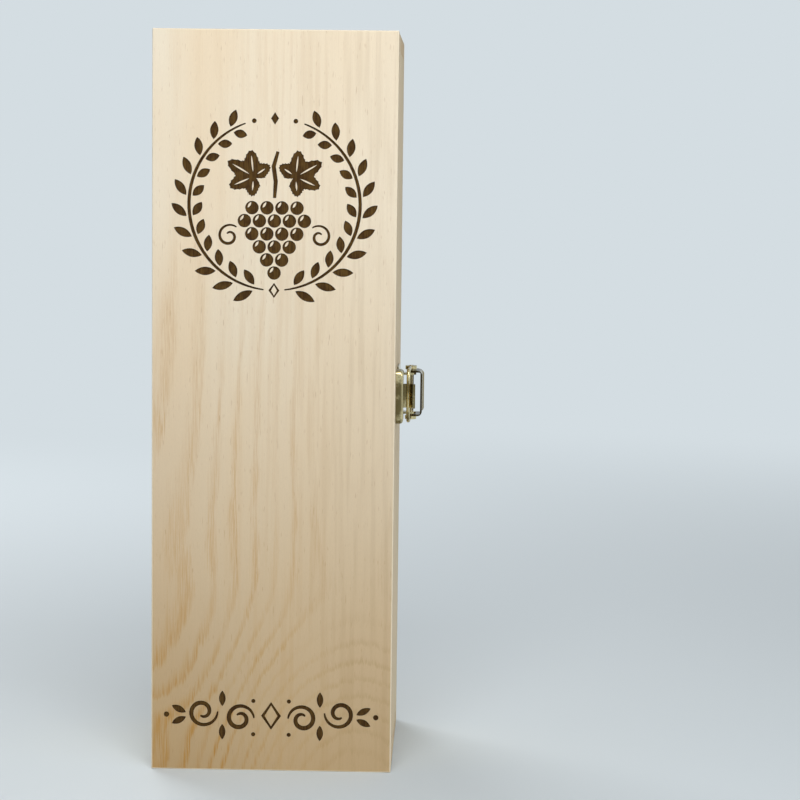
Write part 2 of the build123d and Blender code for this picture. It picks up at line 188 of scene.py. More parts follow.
# %% The class that adds nodes
class Nodes:
    """A node tree and the ways to add to it."""

    def __init__(self, tree):
        self.tree = tree

    def feed(self, value, socket):
        """Links a line to a socket, or sets the socket to a constant."""
        if isinstance(value, Line):
            self.tree.links.new(value.socket, socket)
        else:
            socket.default_value = value

    def node(self, kind, settings, sockets, output=0):
        """Adds a node, sets it up, feeds its sockets and gives one of its outputs."""
        made = self.tree.nodes.new(kind)
        for name, value in settings.items():
            setattr(made, name, value)
        for key, value in sockets.items():
            self.feed(value, made.inputs[key])
        return Line(self, made.outputs[output])

    def place(self, stretch=(1, 1, 1), shift=(0, 0, 0)):
        """The point's place in millimetres, stretched and shifted."""
        point = self.node("ShaderNodeTexCoord", {}, {}, "Object")
        sized = [amount / MM for amount in stretch]
        scaled = self.node("ShaderNodeVectorMath", {"operation": "MULTIPLY"}, {0: point, 1: sized})
        return self.node("ShaderNodeVectorMath", {"operation": "ADD"}, {0: scaled, 1: shift})

    def parts(self, vector):
        """The three numbers of a vector, each as a line of its own."""
        split = self.node("ShaderNodeSeparateXYZ", {}, {0: vector})
        return [Line(self, socket) for socket in split.socket.node.outputs]

    def facing(self):
        """How far the surface faces each axis, without the sign."""
        normal = self.node("ShaderNodeTexCoord", {}, {}, "Normal")
        absolute = self.node("ShaderNodeVectorMath", {"operation": "ABSOLUTE"}, {0: normal})
        return self.parts(absolute)

    def noise(self, stretch, shift=(0, 0, 0), detail=2.0, roughness=0.5):
        """Soft noise, about 0.5 on average. stretch is how fast it changes per millimetre on each axis."""
        sockets = {"Scale": 1.0, "Detail": detail, "Roughness": roughness}
        return self.node("ShaderNodeTexNoise", {}, {"Vector": self.place(stretch, shift), **sockets})

    def fade(self, value, low, high):
        """0 below low and 1 above high, with a smooth rise between."""
        settings = {"interpolation_type": "SMOOTHSTEP"}
        sockets = {"Value": value, "From Min": low, "From Max": high}
        return self.node("ShaderNodeMapRange", settings, sockets)

    def mix(self, first, second, share):
        """A colour that goes from first to second as share goes from 0 to 1."""
        return self.node("ShaderNodeMix", {"data_type": "RGBA"}, {0: share, 6: first, 7: second}, 2)

    def tint(self, colour, light):
        """A colour made lighter or darker by a number."""
        grey = self.node("ShaderNodeCombineXYZ", {}, {0: light, 1: light, 2: light})
        settings = {"data_type": "RGBA", "blend_type": "MULTIPLY"}
        return self.node("ShaderNodeMix", settings, {0: 1.0, 6: colour, 7: grey}, 2)


# %% The class that makes materials
WOOD_GLOSS = 0.3


class Finish(Nodes):
    """A material, its shader and the nodes that feed it."""

    def __init__(self, name, **constants):
        self.material = bpy.data.materials.new(name)
        self.material.use_nodes = True
        super().__init__(self.material.node_tree)
        self.shader = self.tree.nodes["Principled BSDF"]
        for socket, value in constants.items():
            self.shader.inputs[socket.replace("_", " ")].default_value = value

    def relief(self, height, depth):
        """Fine relief, as deep as depth in millimetres where height goes from 0 to 1."""
        bump = self.node("ShaderNodeBump", {}, {"Height": height, "Distance": depth * MM, "Strength": 1.0})
        self.feed(bump, self.shader.inputs["Normal"])

    def done(self, colour, roughness):
        """Feeds the shader and gives the material."""
        self.feed(colour, self.shader.inputs["Base Color"])
        self.feed(roughness, self.shader.inputs["Roughness"])
        print("finish", self.material.name, "with", len(self.tree.nodes), "nodes")
        return self.material


# %% [markdown]
# ## Pale veneer on the lid
#
# The lid's face is a thin sheet peeled from a log, so its rings show as soft tan streaks. Over most
# of the height they stand upright, ragged tongues hang down at the left, and near the foot they
# sweep to the lower left and crest in an arch at the right. An image would be quick, but it would
# be somebody's picture and blur up close. Instead each point gets a ring number from a smooth
# surface: a wave across the sheet, a rise towards the foot and a few hills. The streaks are where
# that number comes round again. Places are in millimetres, across from the middle and up.

# %% A surface of ring numbers
RING_SPACING = 6.9
FOOT_AT_LEFT = 0.38
FOOT_GROWS = (-60, 36)
LID_BENDS = {
    "middle": -14, "half_wave": 108, "swing": 28, "foot": 64, "foot_from": 95, "foot_to": -20,
    "hills": (
        {"centre": (44, 165), "reach": (24, 45), "height": 8},
        {"centre": (-64, 110), "reach": (34, 60), "height": 10},
        {"centre": (-62, 24), "reach": (20, 16), "height": 7},
    ),
}
BACK_BENDS = {
    "middle": 9, "half_wave": 120, "swing": -30, "foot": -26, "foot_from": 130, "foot_to": -40,
    "hills": ({"centre": (-14, 250), "reach": (30, 60), "height": 22},),
}
# How fast each noise changes per millimetre across, through and along the sheet.
SHEET_GRAIN = {
    "drift": (0.02, 0, 0.006), "wander": (0.25, 0, 0.03), "ragged": (1.5, 0, 0.06),
    "gaps": (0.05, 0, 0.011), "tone": (0.022, 0, 0.006), "bands": (0.34, 0, 0.011),
    "fibres": (2.4, 0, 0.06), "flecks": (1.9, 0, 0.16), "hairs": (3.4, 0, 0.5),
}
# How far three of them push the rings about, in millimetres.
RING_PUSH = {"drift": 11, "wander": 3, "ragged": 4}


def hill(x, z, centre, reach, height):
    """A smooth rise of that height round a centre."""
    across = (x - centre[0]) / reach[0]
    along = (z - centre[1]) / reach[1]
    return height * math.e ** (0 - across * across - along * along)


def ring_surface(sheet, shift, bends):
    """The ring number times the spacing, a smooth surface over the panel with ragged fibres."""
    x, _, z = sheet.parts(sheet.place())
    ring = bends["swing"] * ((x - bends["middle"]) * (math.pi / bends["half_wave"])).sine()
    down = 1 - sheet.fade(z, bends["foot_to"], bends["foot_from"])
    ring = ring + bends["foot"] * down * between(FOOT_AT_LEFT, 1, sheet.fade(x, *FOOT_GROWS))
    for bend in bends["hills"]:
        ring = ring + hill(x, z, **bend)
    for name, push in RING_PUSH.items():
        ring = ring + push * (sheet.noise(SHEET_GRAIN[name], shift) - 0.5)
    return ring


# %% [markdown]
# The streak of a ring darkens slowly and stops at once, because a tree grows dense late wood before
# winter and starts afresh in spring. Some years leave a strong ring and some a weak one, and every
# ring comes and goes along its length.

# %% Dark rings
STREAK_STARTS = (0.30, 0.48)
STARTS_LATER = (-50, -10)
STREAK_FULL = 0.80
STREAK_ENDS = 0.82
WEAK_RING = 0.35
WEAK_STRETCH = 0.4


def peeled_rings(sheet, shift, bends):
    """How dark the ring at each point is, 0 to 1."""
    turns = ring_surface(sheet, shift, bends) / RING_SPACING
    phase = turns.fraction()
    x, _, _ = sheet.parts(sheet.place())
    start = between(*STREAK_STARTS, sheet.fade(x, *STARTS_LATER))
    dark = sheet.fade(phase, start, STREAK_FULL) * (1 - sheet.fade(phase, STREAK_ENDS, 1.0))
    strength = sheet.node("ShaderNodeTexWhiteNoise", {"noise_dimensions": "1D"}, {"W": turns - phase})
    come_and_go = sheet.fade(sheet.noise(SHEET_GRAIN["gaps"], shift), 0.3, 0.62)
    return dark * between(WEAK_RING, 1, strength) * between(WEAK_STRETCH, 1, come_and_go)


# %% [markdown]
# Where the panel is sawn through, five plies show as stripes, light where the grain runs along the
# edge and dark where it points at the eye. The stripes only belong on the edges, so how far the
# surface faces front or back decides where they come in.

# %% Plies at the sawn edges
PALE = paint(243, 230, 207)
CORE = paint(196, 158, 110)
GLUE = paint(150, 112, 72)
GLUE_SHARE = 0.5
PLY = 1.2
PLY_COUNT_FROM = 100
GRIT = (1.3, 6, 1.3)


def plywood_edges(sheet, colour):
    """The sheet's colour on its faces and the plies on its edges."""
    _, depth, _ = sheet.parts(sheet.place())
    pair = (depth / (2 * PLY) + PLY_COUNT_FROM).fraction()
    crossed = sheet.fade(pair, 0.47, 0.5) * (1 - sheet.fade(pair, 0.97, 1.0))
    layer = (depth / PLY + PLY_COUNT_FROM).fraction()
    seam = 1 - sheet.fade(layer, 0.03, 0.12)
    grit = sheet.noise(GRIT)
    light = sheet.tint(PALE, between(0.82, 1.02, grit))
    dark = sheet.tint(CORE, between(0.75, 1.15, grit))
    sawn = sheet.mix(sheet.mix(light, dark, crossed), GLUE, GLUE_SHARE * seam)
    _, front, _ = sheet.facing()
    return sheet.mix(sawn, colour, sheet.fade(front, 0.3, 0.6))


# %% [markdown]
# Now the sheet gets its colour. It is palest at the top and warmer and darker towards the foot, which is
# partly the wood's own tone and partly painted shade. Across the foot, except at the right, it is painted
# darker again as shade. The streaks break up into dashes along the fibres, are strongest at the left,
# fade towards the top and turn thin and grey at the right, where narrow bands take over. Flecks and
# hairs are what keeps it from looking printed when the camera comes close.

# %% The veneer of one panel
ROSY = paint(241, 221, 191)
WARM_SHADED = paint(199, 170, 127)
STREAK = paint(192, 144, 72)
GREY_STREAK = paint(168, 134, 86)
FLECK = paint(176, 134, 84)
WARM_SHADED_BELOW = (-40, 290)
UPPER_ZONE = (100, 300)
FOOT_ZONE = (30, 120)
LEFT_ZONE = (-58, -12)
RIGHT_ZONE = (-45, 15)
GREY_ZONE = (5, 45)
LEFT_STAIN = 0.17
BAND_SHARE = 0.14
FLECK_SHARE = 0.4
CALM_TONE = 0.6


def streak_strength(dashes, right, upper, foot):
    """How strong the streaks are in each part of the sheet."""
    return between(0.15, 1.25, dashes) * between(1.4, 0.28, right) * (1 + 0.15 * foot - 0.87 * upper)


def veneer(name, shift, bends):
    """Peeled sheet over a plywood core, whose plies show at the edges."""
    sheet = Finish(name, Specular_IOR_Level=WOOD_GLOSS)
    x, _, z = sheet.parts(sheet.place())
    left = 1 - sheet.fade(x, *LEFT_ZONE)
    right = sheet.fade(x, *RIGHT_ZONE)
    upper = sheet.fade(z, *UPPER_ZONE)
    foot = 1 - sheet.fade(z, *FOOT_ZONE)
    fibres = sheet.noise(SHEET_GRAIN["fibres"], shift, detail=3.0, roughness=0.6)
    hairs = sheet.noise(SHEET_GRAIN["hairs"], shift)
    dashes = sheet.fade(fibres, 0.40, 0.58)
    rings = peeled_rings(sheet, shift, bends) * streak_strength(dashes, right, upper, foot)
    tone = sheet.fade(sheet.noise(SHEET_GRAIN["tone"], shift), 0.35, 0.65)
    tone = tone + CALM_TONE * right * (0.5 - tone)
    # Warmer and darker towards the foot, partly the wood's own tone and partly painted shade.
    colour = sheet.mix(sheet.mix(PALE, ROSY, tone), WARM_SHADED, 1 - sheet.fade(z, *WARM_SHADED_BELOW))
    colour = sheet.mix(colour, STREAK, LEFT_STAIN * left * (1 - upper))
    streak = sheet.mix(STREAK, GREY_STREAK, sheet.fade(x, *GREY_ZONE))
    bands = sheet.fade(sheet.noise(SHEET_GRAIN["bands"], shift, detail=3.0), 0.44, 0.66)
    colour = sheet.mix(colour, streak, BAND_SHARE * right * bands)
    colour = sheet.mix(colour, streak, rings)
    flecks = sheet.fade(sheet.noise(SHEET_GRAIN["flecks"], shift, detail=1.0), 0.66, 0.76)
    colour = sheet.mix(colour, FLECK, FLECK_SHARE * flecks)
    # The last term is painted shade: it darkens the foot everywhere except at the right.
    colour = sheet.tint(colour, 0.91 + 0.08 * fibres + 0.10 * hairs - 0.07 * foot * (1 - right))
    sheet.relief(fibres - 0.5 * rings, depth=0.04)
    return sheet.done(plywood_edges(sheet, colour), between(0.52, 0.68, fibres))


# %% [markdown]
# ## Solid boards
#
# The frame is sawn from solid boards. A board is a slice of a log, so its rings are circles round a
# pith that lies somewhere beside it. If each point's distance from that pith is the ring number,
# one sum gives long streaks on the faces and arcs on the ends, and both meet at every corner as
# they do in real wood. Each board gets its own pith, so no two look alike. Where a surface faces along
# the grain, the board stops and shows its end, darker and full of pores.

# %% Wood cut from a log
HEART = paint(232, 213, 180)
LATE = paint(208, 174, 126)
END_GRAIN = paint(204, 170, 124)
LOG_RINGS = 4.1
RING_DRIFT = 30
UNEVEN_YEARS = 3.5
YEARS_ALIKE = 0.45
BOARD_SLOW = {"across": 0.012, "along": 0.004}
BOARD_FINE = {"across": 1.8, "along": 0.05}
PORES = (2.2, 2.2, 2.2)


def with_grain(axis, across, along):
    """How fast a noise changes on each axis when it is drawn out along one of them."""
    return [along if index == axis else across for index in range(3)]


def late_wood(board, axis, pith, drift):
    """How dark the year's ring at each point is, 0 to 1."""
    place = board.parts(board.place())
    sides = [place[index] for index in range(3) if index != axis]
    first, second = [side - middle + RING_DRIFT * drift for side, middle in zip(sides, pith)]
    radius = (first * first + second * second).root() / LOG_RINGS
    sockets = {"W": YEARS_ALIKE * radius, "Scale": 1.0}
    years = board.node("ShaderNodeTexNoise", {"noise_dimensions": "1D"}, sockets)
    phase = (radius + UNEVEN_YEARS * years).fraction()
    return board.fade(phase, 0.2, 0.86) * (1 - board.fade(phase, 0.88, 1.0))


def solid_wood(name, axis, pith):
    """Board whose grain runs along that axis, 0 to 2, round a pith given on the two other axes."""
    board = Finish(name, Specular_IOR_Level=WOOD_GLOSS)
    slow = with_grain(axis, **BOARD_SLOW)
    drift = board.noise(slow, (pith[0], pith[1], 7)) - 0.5
    late = late_wood(board, axis, pith, drift)
    tone = board.noise(slow, (3, pith[1], pith[0]))
    fine = with_grain(axis, **BOARD_FINE)
    fibres = board.noise(fine, (pith[1], 3, pith[0]), detail=3.0, roughness=0.6)
    colour = board.mix(HEART, LATE, late * between(0.12, 0.62, board.fade(tone, 0.35, 0.7)))
    colour = board.tint(colour, between(0.90, 1.08, fibres))
    pores = board.noise(PORES)
    ends = board.mix(END_GRAIN, LATE, 0.6 * (1 - late))
    ends = board.tint(ends, between(0.72, 1.22, pores))
    on_end = board.fade(board.facing()[axis], 0.55, 0.8)
    board.relief(fibres + 0.6 * pores * on_end - 0.3 * late, depth=0.05)
    return board.done(board.mix(colour, ends, on_end), between(0.56, 0.72, fibres))


# %% [markdown]
# ## Brass
#
# The latch and hinges are pressed from thin plated sheet. Fingers keep the outward faces bright,
# while the plating dulls on the sides and in the corners. So how far a face looks outward and a
# slow noise together choose between two golds, and the darker one is rougher. On the latch and its
# lever the darker gold is also painted dark reflection, standing in for dark surroundings that the
# pale backdrop does not give. The change has to be soft, because hard blotches make a plate look like
# crumpled foil. Fine scratches come from relief, not from colour, because they only ever show as a
# change in the highlight.

# %% Worn plating, with painted reflection on the latch
CLOUDS = (0.14, 0.14, 0.14)
SPECKS = (0.9, 0.9, 0.9)
SCRATCHES = (0.8, 0.8, 9)
SCRATCH_DEPTH = 0.004
RUBBED_CLEAN = 0.72
USUAL_WEAR = (0.36, 0.72)


def brass(name, bright, dull, smooth, dull_spread=USUAL_WEAR):
    """Plated metal whose dull gold is tarnish, and on the latch and lever also painted reflection. smooth
    is its roughness where it is bright. A lower spread leaves more of it dull.
    """
    metal = Finish(name, Metallic=1.0)
    clouds = metal.noise(CLOUDS, (7, 5, 1), detail=3.0)
    specks = metal.noise(SPECKS, (3, 2, 1))
    rubbed = metal.fade(metal.facing()[0], 0.3, 0.9)
    # Tarnish, and on the latch and lever also painted dark reflection, wherever a face is not rubbed
    # clean.
    tarnish_and_reflection = metal.fade(clouds + 0.25 * specks, *dull_spread) * (1 - RUBBED_CLEAN * rubbed)
    scratches = metal.noise(SCRATCHES, detail=3.0, roughness=0.7)
    metal.relief(scratches, SCRATCH_DEPTH)
    return metal.done(metal.mix(bright, dull, tarnish_and_reflection), smooth + 0.16 * tarnish_and_reflection + 0.06 * scratches)


# %% [markdown]
# ## A new piece
#
# The points of a new piece are all worked out here, because that gives clean walls and says exactly
# where each one lies. One helper makes its mesh an object and hangs it on the body that it moves
# with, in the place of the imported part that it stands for.

# %% Turn a mesh into a piece
def make_piece(name, mesh, materials, body, nodes):
    """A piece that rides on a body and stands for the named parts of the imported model."""
    for material in materials:
        mesh.materials.append(material)
    piece = bpy.data.objects.new(name, mesh)
    bpy.context.scene.collection.objects.link(piece)
    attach(piece, body)
    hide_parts(*nodes)
    print("piece", name, "has", len(mesh.polygons), "faces")


# %% [markdown]
# ## The drawing burnt into the lid
#
# A laser burns the face away to a brown floor about half a millimetre down, with darker sloping
# edges. A dark stain in the material would look flat when light comes from the side, so the marks
# are real pockets. Cutting them with booleans is slow and leaves ragged faces. Here every mark is
# an outline in the plane of the face and the same outline drawn in a little for the floor, and the
# face is filled round them. The drawing is a vine: a wreath with a bunch of grapes in it, and
# scrolls round a diamond below.

# %% Outlines, in millimetres across and up
EDGE = 0.22
ROUND_STEPS = 28


def ring_of(centre, radius, steps=ROUND_STEPS):
    """Points of a circle."""
    turns = [2 * math.pi * step / steps for step in range(steps)]
    return [(centre[0] + radius * math.cos(turn), centre[1] + radius * math.sin(turn)) for turn in turns]


def on_circle(centre, radius, angle):
    """Point of a circle at an angle in degrees."""
    turn = math.radians(angle)
    return centre[0] + radius * math.cos(turn), centre[1] + radius * math.sin(turn)


def arc(centre, radius, start, end, steps):
    """Points of an arc between two angles in degrees. radius may change from one end to the other."""
    first, last = radius if isinstance(radius, tuple) else (radius, radius)
    shares = [step / steps for step in range(steps + 1)]
    return [on_circle(centre, between(first, last, share), between(start, end, share)) for share in shares]


def turned(points, angle, centre):
    """Points turned round the origin by an angle in degrees and carried to a centre."""
    c, s = math.cos(math.radians(angle)), math.sin(math.radians(angle))
    return [(centre[0] + x * c - z * s, centre[1] + x * s + z * c) for x, z in points]


# %% [markdown]
# Each mark is a pair of lists. The first holds its outline, as drawn on the face and as drawn in
# for the floor. The second holds the islands left standing in it, in the same way.

# %% Dots, diamonds and leaves
DIAMOND_DRAWN_IN = 1.4 * EDGE
LEAF_STEPS = 9
LEAF_TIP = 2.2
LEAF_FULLNESS = 0.8


def dot(centre, radius):
    """Round mark."""
    return [(ring_of(centre, radius), ring_of(centre, radius - EDGE))], []


def diamond(centre, half_width, half_height, island=0.0):
    """Four-cornered mark, with a smaller one left standing in it where island is above 0."""
    def corners(grow):
        across, up = half_width + grow, half_height + grow
        return [(centre[0] + x, centre[1] + z) for x, z in ((across, 0), (0, up), (-across, 0), (0, -up))]

    inner = [(corners(-island), corners(EDGE - island))] if island else []
    return [(corners(0), corners(-DIAMOND_DRAWN_IN))], inner


def leaf_outline(length, width, grow):
    """Pointed leaf along +x from the origin. grow draws it in or out."""
    shares = [step / LEAF_STEPS for step in range(LEAF_STEPS + 1)]
    tip = LEAF_TIP * grow
    half = [(width / 2 + grow) * math.sin(math.pi * share) ** LEAF_FULLNESS for share in shares]
    along = [-tip + (length + 2 * tip) * share for share in shares]
    upper = list(zip(along, half))
    lower = [(x, -z) for x, z in upper][1:-1]
    return lower + upper[::-1]


def leaf(base, angle, length, width):
    """Pointed leaf mark."""
    outer = turned(leaf_outline(length, width, 0), angle, base)
    inner = turned(leaf_outline(length, width, -EDGE), angle, base)
    return [(outer, inner)], []


# %% A stroke follows a line and thins towards its ends
STROKE_FULLNESS = 0.6
THINNEST = 0.04


def stroke(line, width, end_width):
    """Band along a list of points, widest in the middle."""
    final = len(line) - 1

    def sides(shrink):
        left, right = [], []
        for index, (x, z) in enumerate(line):
            before, after = line[max(index - 1, 0)], line[min(index + 1, final)]
            ahead = Vector((after[0] - before[0], after[1] - before[1])).normalized()
            share = math.sin(math.pi * index / final) ** STROKE_FULLNESS
            half = max(between(end_width, width, share) / 2 - shrink, THINNEST)
            step = shrink if index == 0 else -shrink if index == final else 0
            x, z = x + ahead.x * step, z + ahead.y * step
            left.append((x - ahead.y * half, z + ahead.x * half))
            right.append((x + ahead.y * half, z - ahead.x * half))
        return right + left[::-1]

    return [(sides(0), sides(EDGE))], []


# %% A curl winds inwards beside an origin, mirrored from one side to the other
CURL_STEPS = 40


def curl(origin, side, across, up, radii, around, start, end, widths):
    """Spiral mark. Its angles count from around, towards the side that it stands on."""
    centre = (origin[0] + side * across, origin[1] + up)
    line = arc(centre, radii, around + side * start, around + side * end, CURL_STEPS)
    return stroke(line, *widths)


# %% [markdown]
# A vine leaf has five lobes. Its outline is a distance from the stalk for each direction, taken
# from the length of the lobes and the depth of the bays between them, with small teeth added. Its
# five veins are left standing as thin islands, which is how an engraver shows a leaf.

# %% Vine leaf, in degrees from its tip and shares of its size
LOBES = ((0, 1.0), (27, 0.62), (54, 0.88), (86, 0.50), (116, 0.66), (152, 0.40), (172, 0.16), (180, 0.10))
TEETH = 44
TOOTH = 0.035
VEINS = ((0, 0.84), (54, 0.72), (-54, 0.72), (116, 0.48), (-116, 0.48))
VEIN_START = 0.16
VEIN_WIDTH = 0.055
LEAF_DRAWN_IN = 1.5
LEAF_LEAST = 0.05


def lobed(angle, size):
    """Distance from the stalk to the leaf's edge in that direction, in degrees from its tip."""
    away = abs((angle + 180) % 360 - 180)
    for (low, near), (high, far) in zip(LOBES, LOBES[1:]):
        if away <= high:
            share = (away - low) / (high - low)
            smooth = share * share * (3 - 2 * share)
            return size * between(near, far, smooth)
    return size * LOBES[-1][1]


def vine_leaf(stalk, angle, size):
    """Lobed leaf mark with its veins left standing."""
    def outline(shrink):
        points = []
        for step in range(3 * TEETH):
            direction = 360 * step / (3 * TEETH)
            tooth = TOOTH * size * (step % 3 == 0)
            reach = max(lobed(direction, size) + tooth - LEAF_DRAWN_IN * shrink, LEAF_LEAST * size)
            points.append(on_circle((0, 0), reach, direction))
        return turned(points, angle, stalk)

    veins = []
    for direction, reach in VEINS:
        start = turned([(VEIN_START * size, 0)], angle + direction, stalk)[0]
        length = (reach - VEIN_START) * size
        top = turned(leaf_outline(length, VEIN_WIDTH * size, 0), angle + direction, start)
        foot = turned(leaf_outline(length, VEIN_WIDTH * size, EDGE / 2), angle + direction, start)
        veins.append((top, foot))
    return [(outline(0), outline(EDGE))], veins


# %% A grape with a spark of light
GLINT_LENGTH = 0.95
GLINT_WIDTH = 0.34
GLINT_START = (-0.62, 0.02)
GLINT_LEAN = 58


def grape(centre, radius):
    """Round mark with a leaf-shaped glint left standing."""
    outline, _ = dot(centre, radius)
    start = (centre[0] + GLINT_START[0] * radius, centre[1] + GLINT_START[1] * radius)
    glint = leaf_outline(GLINT_LENGTH * radius, GLINT_WIDTH * radius, 0)
    foot = leaf_outline(GLINT_LENGTH * radius, GLINT_WIDTH * radius, EDGE / 2)
    return outline, [(turned(glint, GLINT_LEAN, start), turned(foot, GLINT_LEAN, start))]


# %% Wreath
WREATH_CENTRE = (0, 273)
WREATH_RADIUS = 40.5
STEM_FROM, STEM_TO = 7, 160
STEM_STEPS = 40
STEM_WIDTHS = (1.6, 0.6)
STEM_DOT = 166
DOT_RADIUS = 1.1
DIAMOND_BELOW = (2.6, 3.6, 1.2)
DIAMOND_ABOVE = (1.9, 2.9)
PAIRS = 11
FIRST_PAIR, NEXT_PAIR = 14, 13.6
LEAF_SHIFT = 1.5
LEAF_LEAN = 42
OUTER_LEAF, INNER_LEAF, LEAF_WIDTH = 10.4, 8.6, 4.0
LEAF_SHORTER = 0.2


def wreath():
    """Two leafy branches that rise from the bottom and leave a gap at the top."""
    marks = []
    for side in (-1, 1):
        stem = arc(WREATH_CENTRE, WREATH_RADIUS, -90 + side * STEM_FROM, -90 + side * STEM_TO, STEM_STEPS)
        marks.append(stroke(stem, *STEM_WIDTHS))
        for pair in range(PAIRS):
            turn = -90 + side * (FIRST_PAIR + NEXT_PAIR * pair)
            for outward, longest in ((-1, INNER_LEAF), (1, OUTER_LEAF)):
                base = on_circle(WREATH_CENTRE, WREATH_RADIUS + LEAF_SHIFT * outward, turn)
                lean = turn + side * (90 - outward * LEAF_LEAN)
                marks.append(leaf(base, lean, longest - LEAF_SHORTER * pair, LEAF_WIDTH))
        marks.append(dot(on_circle(WREATH_CENTRE, WREATH_RADIUS, -90 + side * STEM_DOT), DOT_RADIUS))
    marks.append(diamond(on_circle(WREATH_CENTRE, WREATH_RADIUS, -90), *DIAMOND_BELOW))
    marks.append(diamond(on_circle(WREATH_CENTRE, WREATH_RADIUS, 90), *DIAMOND_ABOVE))
    return marks


# %% Bunch of grapes
GRAPE_RADIUS = 3.2
GRAPE_GAP = 0.7
GRAPE_ROWS = (4, 5, 4, 3, 2, 1)
ROW_DROP = 0.866
BUNCH_TOP = -1.5
STALK = ((0, 3.2), (0.5, 11), (-0.5, 18), (1.5, 25))
STALK_WIDTHS = (2.1, 1.5)
VINE_LEAF = {"across": 10, "up": 13.2, "lean": 60, "size": 13.8}
TENDRIL = {
    "across": 21.5, "up": -15, "radii": (5.6, 1.4), "around": 90, "start": 40, "end": -400,
    "widths": (1.4, 0.6),
}


def bunch():
    """Grapes in rows that narrow downwards, with two leaves and a stalk above and two tendrils."""
    marks = []
    x0, z0 = WREATH_CENTRE
    pitch = 2 * GRAPE_RADIUS + GRAPE_GAP
    for row, count in enumerate(GRAPE_ROWS):
        for column in range(count):
            across = (column - (count - 1) / 2) * pitch
            marks.append(grape((x0 + across, z0 + BUNCH_TOP - row * ROW_DROP * pitch), GRAPE_RADIUS))
    marks.append(stroke([(x0 + x, z0 + z) for x, z in STALK], *STALK_WIDTHS))
    for side in (-1, 1):
        stalk = (x0 + side * VINE_LEAF["across"], z0 + VINE_LEAF["up"])
        marks.append(vine_leaf(stalk, 90 - side * VINE_LEAF["lean"], VINE_LEAF["size"]))
        marks.append(curl(WREATH_CENTRE, side, **TENDRIL))
    return marks


# %% Scrolls round a diamond
FOOT_CENTRE = (0, 27)
FOOT_DIAMOND = (4.8, 6.8, 1.7)
SCROLLS = (
    {
        "across": 15.2, "up": -1.5, "radii": (7.0, 2.0), "around": 90, "start": 88, "end": -400,
        "widths": (2.2, 0.7),
    },
    {
        "across": 33.2, "up": 1.5, "radii": (7.4, 2.0), "around": 270, "start": -92, "end": 390,
        "widths": (2.1, 0.7),
    },
)
FOOT_LEAF_SIZE = (7.6, 3.2)
# Across, up and lean of each leaf, and across, up and radius of each dot.
FOOT_LEAVES = ((23.6, 4.4, 0), (23.6, -4.4, 180), (41.2, 1.1, 64), (41.2, -1.1, 116))
FOOT_DOTS = ((8.6, 7.2, 1.0), (8.6, -9.2, 1.0), (50.6, 0, 1.3))


def scrolls():
    """Two mirrored pairs of scrolls with leaves, either side of a diamond."""
    marks = [diamond(FOOT_CENTRE, *FOOT_DIAMOND)]
    x0, z0 = FOOT_CENTRE
    for side in (-1, 1):
        marks += [curl(FOOT_CENTRE, side, **scroll) for scroll in SCROLLS]
        for across, up, lean in FOOT_LEAVES:
            marks.append(leaf((x0 + side * across, z0 + up), 90 - side * lean, *FOOT_LEAF_SIZE))
        for across, up, radius in FOOT_DOTS:
            marks.append(dot((x0 + side * across, z0 + up), radius))
    return marks


# %% [markdown]
# The panel itself has an eased front edge, so it starts as a stack of outlines that turn over from
# the side to the face. The face is then one flat area with the marks as holes. Blender can fill
# such an area with triangles by itself, and the walls and floors use the very same points, so the
# result is one closed skin. Before that come three helpers, for the shading, for the finished mesh
# and for gathering points.

# %% Shading and the finished mesh
SMOOTH_BELOW = math.radians(30)
FLAT_BELOW = math.radians(0.1)
FACES_FRONT = 0.9999


def soften(work, keep_front_flat=False):
    """Smooth shading with sharp corners, and sharp all round the flat areas that face front if asked."""
    for edge in work.edges:
        angle = edge.calc_face_angle(0)
        front = keep_front_flat and any(abs(face.normal.y) > FACES_FRONT for face in edge.link_faces)
        edge.smooth = angle < SMOOTH_BELOW and not (front and angle > FLAT_BELOW)
    for face in work.faces:
        face.smooth = True


def finished(work, mesh):
    """Writes the work into the mesh and says whether its skin is closed."""
    work.to_mesh(mesh)
    print(mesh.name, "has", sum(not edge.is_manifold for edge in work.edges), "open edges")
    work.free()
    return mesh


# %% A mesh gathered point by point
SKIN_MERGE = 0.001


class Skin:
    """Points, faces and the material of each face of a mesh that faces -Y, in millimetres."""

    def __init__(self):
        self.points = []
        self.faces = []
        self.kinds = []

    def loop(self, outline, y):
        """Adds the points of an outline at a depth and gives their numbers."""
        first = len(self.points)
        self.points += [(x, y, z) for x, z in outline]
        return list(range(first, len(self.points)))

    def band(self, one, two, kind):
        """Walls between two loops of as many points."""
        for index in range(len(one)):
            after = (index + 1) % len(one)
            self.faces.append((one[index], one[after], two[after], two[index]))
            self.kinds.append(kind)

    def fill(self, loops, kind):
        """Triangles inside the first loop and round the others."""
        flat = [[Vector((self.points[i][0], self.points[i][2], 0)) for i in loop] for loop in loops]
        order = [index for loop in loops for index in loop]
        for triangle in tessellate_polygon(flat):
            self.faces.append(tuple(order[corner] for corner in triangle))
            self.kinds.append(kind)

    def mesh(self, name):
        """Everything as one mesh with a closed skin."""
        made = bpy.data.meshes.new(name)
        made.from_pydata([Vector(point) * MM for point in self.points], [], self.faces)
        made.polygons.foreach_set("material_index", self.kinds)
        work = bmesh.new()
        work.from_mesh(made)
        bmesh.ops.remove_doubles(work, verts=work.verts, dist=SKIN_MERGE * MM)
        bmesh.ops.recalc_face_normals(work, faces=work.faces)
        soften(work, keep_front_flat=True)
        return finished(work, made)


# %% Build the engraved panel
EASE = 0.5
EASE_STEPS = 6
ENGRAVED = 0.5
VENEER, FLOOR, WALL, SANDED_HIGHLIT = 0, 1, 2, 3


